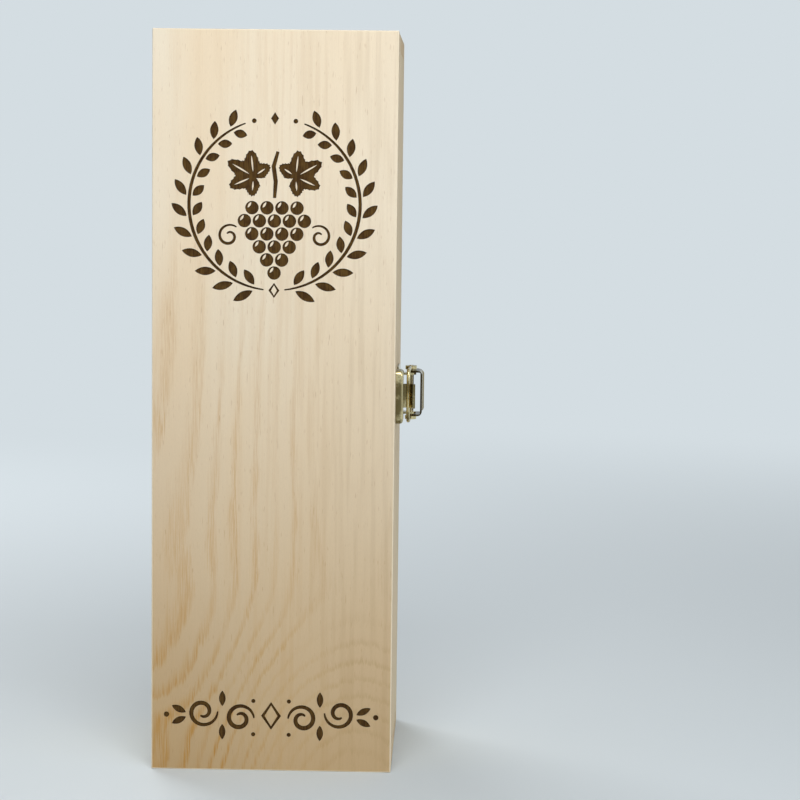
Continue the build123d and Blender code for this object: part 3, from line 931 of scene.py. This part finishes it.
def eased_outline(low, high, turn):
    """Outline of the panel where its front edge has turned over by that angle."""
    radius = EASE * math.cos(turn)
    middles = [(high.x - EASE, high.z - EASE), (low.x + EASE, high.z - EASE)]
    middles += [(low.x + EASE, low.z + EASE), (high.x - EASE, low.z + EASE)]
    outline = []
    for quarter, middle in enumerate(middles):
        outline += arc(middle, radius, 90 * quarter, 90 * quarter + 90, EASE_STEPS)
    return outline


def engraved_panel(node, marks):
    """Mesh of a panel with marks cut into its front."""
    low, high = [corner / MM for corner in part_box(node)]
    skin = Skin()
    back = skin.loop(eased_outline(low, high, 0), high.y)
    skin.fill([back], VENEER)
    last = back
    for step in range(EASE_STEPS + 1):
        turn = math.radians(90 * step / EASE_STEPS)
        ring = skin.loop(eased_outline(low, high, turn), low.y + EASE - EASE * math.sin(turn))
        skin.band(last, ring, SANDED_HIGHLIT if step else VENEER)
        last = ring
    # Turned over all the way, the points of a corner meet, so the face takes one of each.
    face = skin.loop(eased_outline(low, high, math.pi / 2)[::EASE_STEPS + 1], low.y)
    tops = []
    for outer, islands in marks:
        rim, foot = outer[0]
        top, floor = skin.loop(rim, low.y), skin.loop(foot, low.y + ENGRAVED)
        skin.band(top, floor, WALL)
        tops.append(top)
        feet = []
        for crest, base in islands:
            crest, base = skin.loop(crest, low.y), skin.loop(base, low.y + ENGRAVED)
            skin.band(crest, base, WALL)
            skin.fill([crest], VENEER)
            feet.append(base)
        skin.fill([floor, *feet], FLOOR)
    skin.fill([face, *tops], VENEER)
    return skin.mesh("engraved_lid_panel")


# %% [markdown]
# Burnt wood is brown, not black. The beam leaves the soft early wood lighter than the rings, so the
# floor keeps a trace of the upright grain. The sloping walls are the darkest: charred where the beam
# passed more than once, and darker still as painted shade, since the sides of a pocket lie in shadow.
# The eased edge is sanded after that and comes out pale, and paler still as a painted highlight.

# %% Burnt floor and burnt walls
BURNT = paint(93, 67, 27)
CHARRED = paint(65, 42, 14)
SOOT_AND_SHADE = paint(44, 30, 15)
BURNT_GRAIN = (1.6, 1.6, 0.10)
BLOTCHES = (0.3, 0.3, 0.3)


def burnt(name, light, dark):
    """Wood scorched by a laser. On the walls the darker colours also stand for painted shade."""
    scorch = Finish(name, Specular_IOR_Level=0.2)
    grain = scorch.noise(BURNT_GRAIN, detail=3.0)
    blotches = scorch.noise(BLOTCHES)
    share = scorch.fade(0.6 * grain + 0.4 * blotches, 0.38, 0.62)
    scorch.relief(grain, depth=0.05)
    return scorch.done(scorch.mix(light, dark, share), between(0.72, 0.92, grain))


# %% The sanded edge with its painted highlight, and the finished panel
# Both colours are paler than the face: sanded wood, and a painted highlight along the edge.
SANDED_HIGHLIT_LIGHT = paint(248, 236, 214)
SANDED_HIGHLIT_DARK = paint(234, 216, 184)
SANDED_GRAIN = (1.6, 1.6, 0.2)


def sanded_highlit_edge():
    """The eased edge, pale where sandpaper has taken the warm outer skin off, and paler still as a painted
    highlight.
    """
    edge = Finish("sanded_edge_painted_highlight", Specular_IOR_Level=WOOD_GLOSS)
    fibres = edge.noise(SANDED_GRAIN)
    return edge.done(edge.mix(SANDED_HIGHLIT_LIGHT, SANDED_HIGHLIT_DARK, fibres), 0.6)


panel_mesh = engraved_panel("lid_panel", wreath() + bunch() + scrolls())
panel_materials = [
    veneer("lid_veneer", (0, 0, 0), LID_BENDS),
    burnt("burnt_floor", BURNT, CHARRED),
    # The walls: charred, and darker still as painted shade.
    burnt("burnt_and_shaded_walls", CHARRED, SOOT_AND_SHADE),
    sanded_highlit_edge(),
]
make_piece("engraved_lid_panel", panel_mesh, panel_materials, "lid", ["lid_panel"])

# %% [markdown]
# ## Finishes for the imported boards
#
# The shape of the boards is right as it is: fingers, dado and eased edges are all there. They only
# need their wood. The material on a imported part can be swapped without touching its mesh.

# %% Dress the boards
def dress(node, material):
    """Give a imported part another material."""
    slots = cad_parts[node].data.materials
    slots.clear()
    slots.append(material)


# The axis of each board's grain, and its pith in millimetres on the two other axes.
BOARDS = {
    "tray_left_side": (2, (18, -40)),
    "tray_right_side": (2, (95, 60)),
    "tray_top_end": (0, (70, 300)),
    "tray_bottom_end": (0, (-30, -60)),
    "lid_left_rail": (2, (-20, -90)),
    "lid_right_rail": (2, (110, 10)),
    "lid_top_rail": (0, (-90, 390)),
    "lid_bottom_rail": (0, (10, 60)),
    "neck_cradle": (0, (120, 210)),
}
for node, (axis, pith) in BOARDS.items():
    dress(node, solid_wood(node, axis, pith))
dress("back_panel", veneer("back_veneer", (140, 0, 60), BACK_BENDS))

# %% [markdown]
# The hinges are newer and calmer than the latch: large blotches would make their small leaves look
# dirty. Their pins are plain drawn wire.

# %% Dress the metal
# The latch's dull gold is darker than tarnish alone: it is also painted dark reflection.
LATCH_GOLD = paint(230, 215, 168)
LATCH_DULL_AND_REFLECTION = paint(118, 106, 72)
HINGE_GOLD = paint(228, 206, 150)
HINGE_DULL = paint(160, 138, 86)
HINGE_WEAR = (0.3, 1.2)
WIRE = paint(200, 190, 164)
WIRE_DULL = paint(150, 138, 108)

latch_metal = brass("latch_brass_tarnish_and_painted_reflection", LATCH_GOLD, LATCH_DULL_AND_REFLECTION, 0.10)
hinge_metal = brass("aged_hinge_brass", HINGE_GOLD, HINGE_DULL, 0.18, HINGE_WEAR)
pin_metal = brass("pin_metal", WIRE, WIRE_DULL, 0.24)
HINGE_LEAVES = [f"{place}_hinge_{body}_leaf" for place in ("upper", "lower") for body in ("tray", "lid")]
PINS = ["upper_hinge_pin", "lower_hinge_pin", "lever_pivot_pin", "loop_pivot_pin"]
LATCH_PLATES = ["latch_base_plate", "strike_plate", "latch_loop"]
for metal, nodes in ((hinge_metal, HINGE_LEAVES), (pin_metal, PINS), (latch_metal, LATCH_PLATES)):
    for node in nodes:
        dress(node, metal)
    print(metal.name, "dresses", ", ".join(nodes))

# %% [markdown]
# ## The pressed lever
#
# The lever is folded from flat sheet, so its two long corners are wide bends outside and narrower
# ones inside, where the ears of the base plate need the room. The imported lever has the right
# outline, bores and lip, but its corners are tight. A bevel modifier would round both sides alike
# and cut into the lip. Instead a copy of the mesh is sliced into narrow strips near each corner,
# and every point is carried round an arc whose radius depends on its depth in the sheet.

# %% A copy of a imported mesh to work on
def packed_mesh(node, merge):
    """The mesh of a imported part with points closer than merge, in millimetres, made one."""
    work = bmesh.new()
    work.from_mesh(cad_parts[node].data)
    bmesh.ops.remove_doubles(work, verts=work.verts, dist=merge * MM)
    return work


# %% Where a point of the sheet is carried
LEVER_SHEET = 0.9
BEND = 2.4
INNER_BEND = 0.5
PACKED_BEND = 0.7


def bent(depth, side):
    """Where a point goes that lies so far below the thumb plate and inside the flange's outer face."""
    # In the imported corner, a point's layer in the sheet is measured from the small arc there.
    layer = min(depth, side)
    if max(depth, side) < PACKED_BEND:
        layer = PACKED_BEND - math.hypot(PACKED_BEND - depth, PACKED_BEND - side)
    radius = between(BEND, INNER_BEND, layer / LEVER_SHEET)
    centre = layer + radius
    across, along = centre - depth, centre - side
    if across <= 0 or along <= 0:
        return depth, side
    # The way along the square corner, 0 to 2, becomes the way round the arc.
    eighths = along / across if across > along else 2 - across / along
    angle = math.radians(45 * eighths)
    return centre - radius * math.cos(angle), centre - radius * math.sin(angle)


# %% Bend the long corners
STRIPS = 6
LEVER_MERGE = 0.002
TAIL_REACH = 1.0


def slice_corners(work, thumb, low, high):
    """Cuts the lever into narrow strips near its two long corners."""
    for strip in range(1, STRIPS + 1):
        reach = BEND * MM * strip / STRIPS
        cuts = [((thumb - reach, 0, 0), (1, 0, 0))]
        cuts += [((0, 0, height), (0, 0, 1)) for height in (low.z + reach, high.z - reach)]
        for place, facing in cuts:
            geometry = work.verts[:] + work.edges[:] + work.faces[:]
            bmesh.ops.bisect_plane(work, geom=geometry, plane_co=place, plane_no=facing)


def pressed_lever(node):
    """Mesh of the lever with its long corners bent round. thumb is the outer face of its plate."""
    low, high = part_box(node)
    work = packed_mesh(node, LEVER_MERGE)
    thumb = max(vert.co.x for vert in work.verts if vert.co.y < low.y + TAIL_REACH * MM)
    slice_corners(work, thumb, low, high)
    for vert in work.verts:
        for end, inward in ((low.z, 1), (high.z, -1)):
            depth, side = bent((thumb - vert.co.x) / MM, (vert.co.z - end) * inward / MM)
            vert.co.x = thumb - depth * MM
            vert.co.z = end + side * inward * MM
    soften(work)
    return finished(work, bpy.data.meshes.new("pressed_lever"))


# %% The lever, darker than the rest: brown tarnish and more painted dark reflection
# Its gold and brown are darker than the latch's and spread wider, as painted dark reflection over brown
# tarnish.
LEVER_GOLD = paint(176, 156, 108)
LEVER_BROWN_AND_REFLECTION = paint(64, 54, 34)
LEVER_DULL_SPREAD = (0.24, 0.56)

lever_metal = brass("lever_brass_tarnish_and_painted_reflection", LEVER_GOLD, LEVER_BROWN_AND_REFLECTION, 0.12, LEVER_DULL_SPREAD)
lever_mesh = pressed_lever("latch_lever")
make_piece("pressed_latch_lever", lever_mesh, [lever_metal], "lever", ["latch_lever"])

# %% [markdown]
# ## Screws with a cross recess
#
# A screw without a recess reads as a rivet. Each head gets a tapered cross: the crown is filled
# round the outline of the cross, whose walls then run down to a smaller cross. The places come from
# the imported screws, one island of faces each, so a new head always sits where the hole is.

# %% Find each screw of a packed group
SCREW_MERGE = 0.01


def solids_of(node):
    """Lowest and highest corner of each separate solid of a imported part, in millimetres."""
    work = packed_mesh(node, SCREW_MERGE)
    left = set(work.verts)
    found = []
    while left:
        waiting = [left.pop()]
        group = []
        while waiting:
            vert = waiting.pop()
            group.append(vert.co.copy())
            near = [edge.other_vert(vert) for edge in vert.link_edges]
            fresh = [other for other in near if other in left]
            left.difference_update(fresh)
            waiting += fresh
        low = Vector([min(co[axis] for co in group) for axis in range(3)])
        high = Vector([max(co[axis] for co in group) for axis in range(3)])
        found.append((low / MM, high / MM))
    work.free()
    return sorted(found, key=lambda box: tuple(box[0]))


# %% The profile of a screw, from its tip to the rim of the recess
HEAD = 1.9
SHANK = 1.0
TIP = 1.6
SINK = 0.9
RIM = 0.06
CROWN_RADII = (1.84, 1.7, 1.5)
HUB = 1.28
CROSS_REACH, CROSS_HALF, CROSS_DEPTH, CROSS_FOOT = 1.05, 0.24, 0.62, 0.35
HEAD_STEPS = 32


def crown(radius, rise):
    """Height of a head's top at a distance from its axis."""
    return rise * math.sqrt(max(0.0, 1 - (radius / HEAD) ** 2))


def screw_profile(rise, length):
    """Radius and height of each ring. The seat of the head is at height 0, and rise 0 is countersunk."""
    shank = [(0, -length), (SHANK, TIP - length)]
    if not rise:
        return shank + [(SHANK, -SINK), (HEAD, -0.04), (HEAD, 0.0), (HEAD - RIM, 0.0)]
    washer = [(SHANK, -0.02), (HEAD - 0.03, -0.02), (HEAD, 0.03)]
    return shank + washer + [(radius, crown(radius, rise)) for radius in CROWN_RADII]


def on_crown(outline, rise):
    """Points of an outline laid on the top of a head."""
    return [(x, y, crown(math.hypot(x, y), rise)) for x, y in outline]


def at_height(outline, height):
    """Points of an outline all at one height."""
    return [(x, y, height) for x, y in outline]


def cross(share):
    """Outline of a cross, shrunk to a share of its size."""
    reach = CROSS_REACH * share
    half = CROSS_HALF * between(0.5, 1, share)
    arm = [(reach, -half), (reach, half), (half, half)]
    return [point for quarter in range(4) for point in turned(arm, 90 * quarter, (0, 0))]


# %% One screw, its axis along +Z
def screw_shape(work, rise, length, matrix):
    """Adds a screw to a mesh. rise is the height of its crown, or 0 for a countersunk head."""
    def ring(points):
        return [work.verts.new(matrix @ (Vector(point) * MM)) for point in points]

    def band(lower, upper):
        for index in range(len(upper)):
            after = (index + 1) % len(upper)
            corners = [lower[index % len(lower)], lower[after % len(lower)], upper[after], upper[index]]
            work.faces.new(list(dict.fromkeys(corners)))

    rings = []
    for radius, z in screw_profile(rise, length):
        circle = ring_of((0, 0), radius, HEAD_STEPS if radius else 1)
        rings.append(ring(at_height(circle, z)))
    hub_outline = ring_of((0, 0), HUB, HEAD_STEPS)
    cross_outline = cross(1.0)
    rings.append(ring(at_height(hub_outline, crown(HUB, rise))))
    for lower, upper in zip(rings, rings[1:]):
        band(lower, upper)
    top = ring(on_crown(cross_outline, rise))
    foot = ring(at_height(cross(CROSS_FOOT), rise - CROSS_DEPTH))
    corners = rings[-1] + top
    flat = [[Vector((x, y, 0)) for x, y in outline] for outline in (hub_outline, cross_outline)]
    for triangle in tessellate_polygon(flat):
        work.faces.new([corners[corner] for corner in triangle])
    band(top, foot)
    work.faces.new(foot)


# %% Every group of screws
SCREW_GOLD = paint(214, 192, 138)
SCREW_DULL = paint(160, 134, 84)
FIRST_SPIN, NEXT_SPIN = 17, 37
LATCH_CROWN = 0.93


def screws(node, body, outward, rise):
    """One piece for a group of screws whose heads face outward."""
    work = bmesh.new()
    axis = max(range(3), key=lambda index: abs(outward[index]))
    for index, (low, high) in enumerate(solids_of(node)):
        seat = (low + high) / 2
        tip, head = (low[axis], high[axis]) if outward[axis] > 0 else (high[axis], low[axis])
        seat[axis] = head - outward[axis] * rise
        length = abs(seat[axis] - tip)
        facing = Vector(outward).to_track_quat("Z", "Y").to_matrix().to_4x4()
        spin = Matrix.Rotation(math.radians(FIRST_SPIN + NEXT_SPIN * index), 4, "Z")
        screw_shape(work, rise, length, Matrix.Translation(seat * MM) @ facing @ spin)
    bmesh.ops.recalc_face_normals(work, faces=work.faces)
    soften(work)
    mesh = finished(work, bpy.data.meshes.new(node + "_cross_headed"))
    make_piece(mesh.name, mesh, [screw_metal], body, [node])


screw_metal = brass("screw_brass", SCREW_GOLD, SCREW_DULL, 0.20)
screws("tray_hinge_screws", "tray", (0, -1, 0), 0)
screws("lid_hinge_screws", "lid", (0, 1, 0), 0)
screws("strike_screws", "lid", (1, 0, 0), 0)
screws("latch_base_screws", "tray", (1, 0, 0), LATCH_CROWN)

# %% [markdown]
# ## Floor, backdrop and light
#
# The floor is a plain pale disc that keeps the box's shadow and fades into the backdrop colour
# further out, so no horizon shows. What the camera and mirror-like surfaces see as backdrop is a
# plain colour, while the light that falls on the box comes from soft lamps and a grey sky. Raising
# the lamps to whiten the backdrop would bleach the wood, so the two are kept apart.

# %% Floor
BACKDROP = paint(212, 221, 226)
FLOOR_RADIUS = 4.0
FLOOR_STEPS = 96
FADE_FROM, FADE_TO = 350, 1500


def seen_directly(nodes):
    """1 where a ray comes from the camera, a reflection or through glass."""
    rays = nodes.node("ShaderNodeLightPath", {}, {}, "Is Camera Ray")
    glossy = Line(nodes, rays.socket.node.outputs["Is Glossy Ray"])
    through = Line(nodes, rays.socket.node.outputs["Is Transmission Ray"])
    return rays.larger(glossy).larger(through)


def stage_floor():
    """A disc that fades into the backdrop."""
    work = bmesh.new()
    bmesh.ops.create_circle(work, cap_ends=True, segments=FLOOR_STEPS, radius=FLOOR_RADIUS)
    mesh = bpy.data.meshes.new("floor")
    work.to_mesh(mesh)
    work.free()
    ground = Finish("floor", Roughness=0.9, Base_Color=BACKDROP)
    x, y, _ = ground.parts(ground.place())
    far = ground.fade((x * x + y * y).root(), FADE_FROM, FADE_TO) * seen_directly(ground)
    glow = ground.node("ShaderNodeEmission", {}, {"Color": BACKDROP})
    surface = Line(ground, ground.shader.outputs["BSDF"])
    blend = ground.node("ShaderNodeMixShader", {}, {0: far, 1: surface, 2: glow})
    ground.tree.links.new(blend.socket, ground.tree.nodes["Material Output"].inputs["Surface"])
    mesh.materials.append(ground.material)
    floor = bpy.data.objects.new("floor", mesh)
    bpy.context.scene.collection.objects.link(floor)
    floor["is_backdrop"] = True
    print("floor", 2 * FLOOR_RADIUS, "m wide")


stage_floor()

# %% World
SKY_LIGHT = 0.25


def stage_world():
    """The backdrop as it is seen, and apart from it the light that it gives."""
    world = bpy.data.worlds.new("world")
    world.use_nodes = True
    bpy.context.scene.world = world
    sky = Nodes(world.node_tree)
    plain = sky.node("ShaderNodeBackground", {}, {"Color": BACKDROP, "Strength": 1.0})
    light = sky.node("ShaderNodeBackground", {}, {"Color": (1, 1, 1, 1), "Strength": SKY_LIGHT})
    blend = sky.node("ShaderNodeMixShader", {}, {0: seen_directly(sky), 1: light, 2: plain})
    sky.tree.links.new(blend.socket, sky.tree.nodes["World Output"].inputs["Surface"])
    print("sky light", SKY_LIGHT)


stage_world()

# %% [markdown]
# The main lamp is a wide soft one above and in front, near enough that the top of the face gets
# about twice the light of its foot, as in the photograph. A weak one on the right opens up the
# latch, and one behind lifts the back so that the box reads from every side.

# %% Soft lamps
LAMPS = {
    "main": {"place": (0.10, -0.70, 0.95), "aim": (0, 0, 0.26), "size": 0.6, "power": 6.9},
    "right": {"place": (1.3, -0.9, 0.55), "aim": (0, 0, 0.18), "size": 0.8, "power": 4},
    "back": {"place": (-0.7, 1.2, 0.9), "aim": (0, 0, 0.18), "size": 0.9, "power": 12},
}


def lamp(name, place, aim, size, power):
    """A square lamp at a place that looks at its aim."""
    data = bpy.data.lights.new(name, "AREA")
    data.size = size
    data.energy = power
    made = bpy.data.objects.new(name, data)
    made.location = place
    made.rotation_euler = (Vector(aim) - Vector(place)).to_track_quat("-Z", "Y").to_euler()
    bpy.context.scene.collection.objects.link(made)


for name, settings in LAMPS.items():
    lamp(name, **settings)
bpy.context.scene.view_settings.view_transform = "Standard"
print("lamps", ", ".join(LAMPS))

# %% [markdown]
# ## The last step
#
# Both boxes are printed in millimetres, the imported one and the dressed one. The
# dressed box has to stay inside the imported one.

# %% Print both boxes and finish
def plain(box):
    """Lowest and highest corner as plain lists of numbers."""
    return [[float(value) for value in corner] for corner in box]


boxes = {"cad": plain(CAD_BOX), "visual": plain(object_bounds())}
for name, corners in boxes.items():
    low, high = [[round(value / MM, 2) for value in corner] for corner in corners]
    print(name, "box", low, "to", high, "mm")
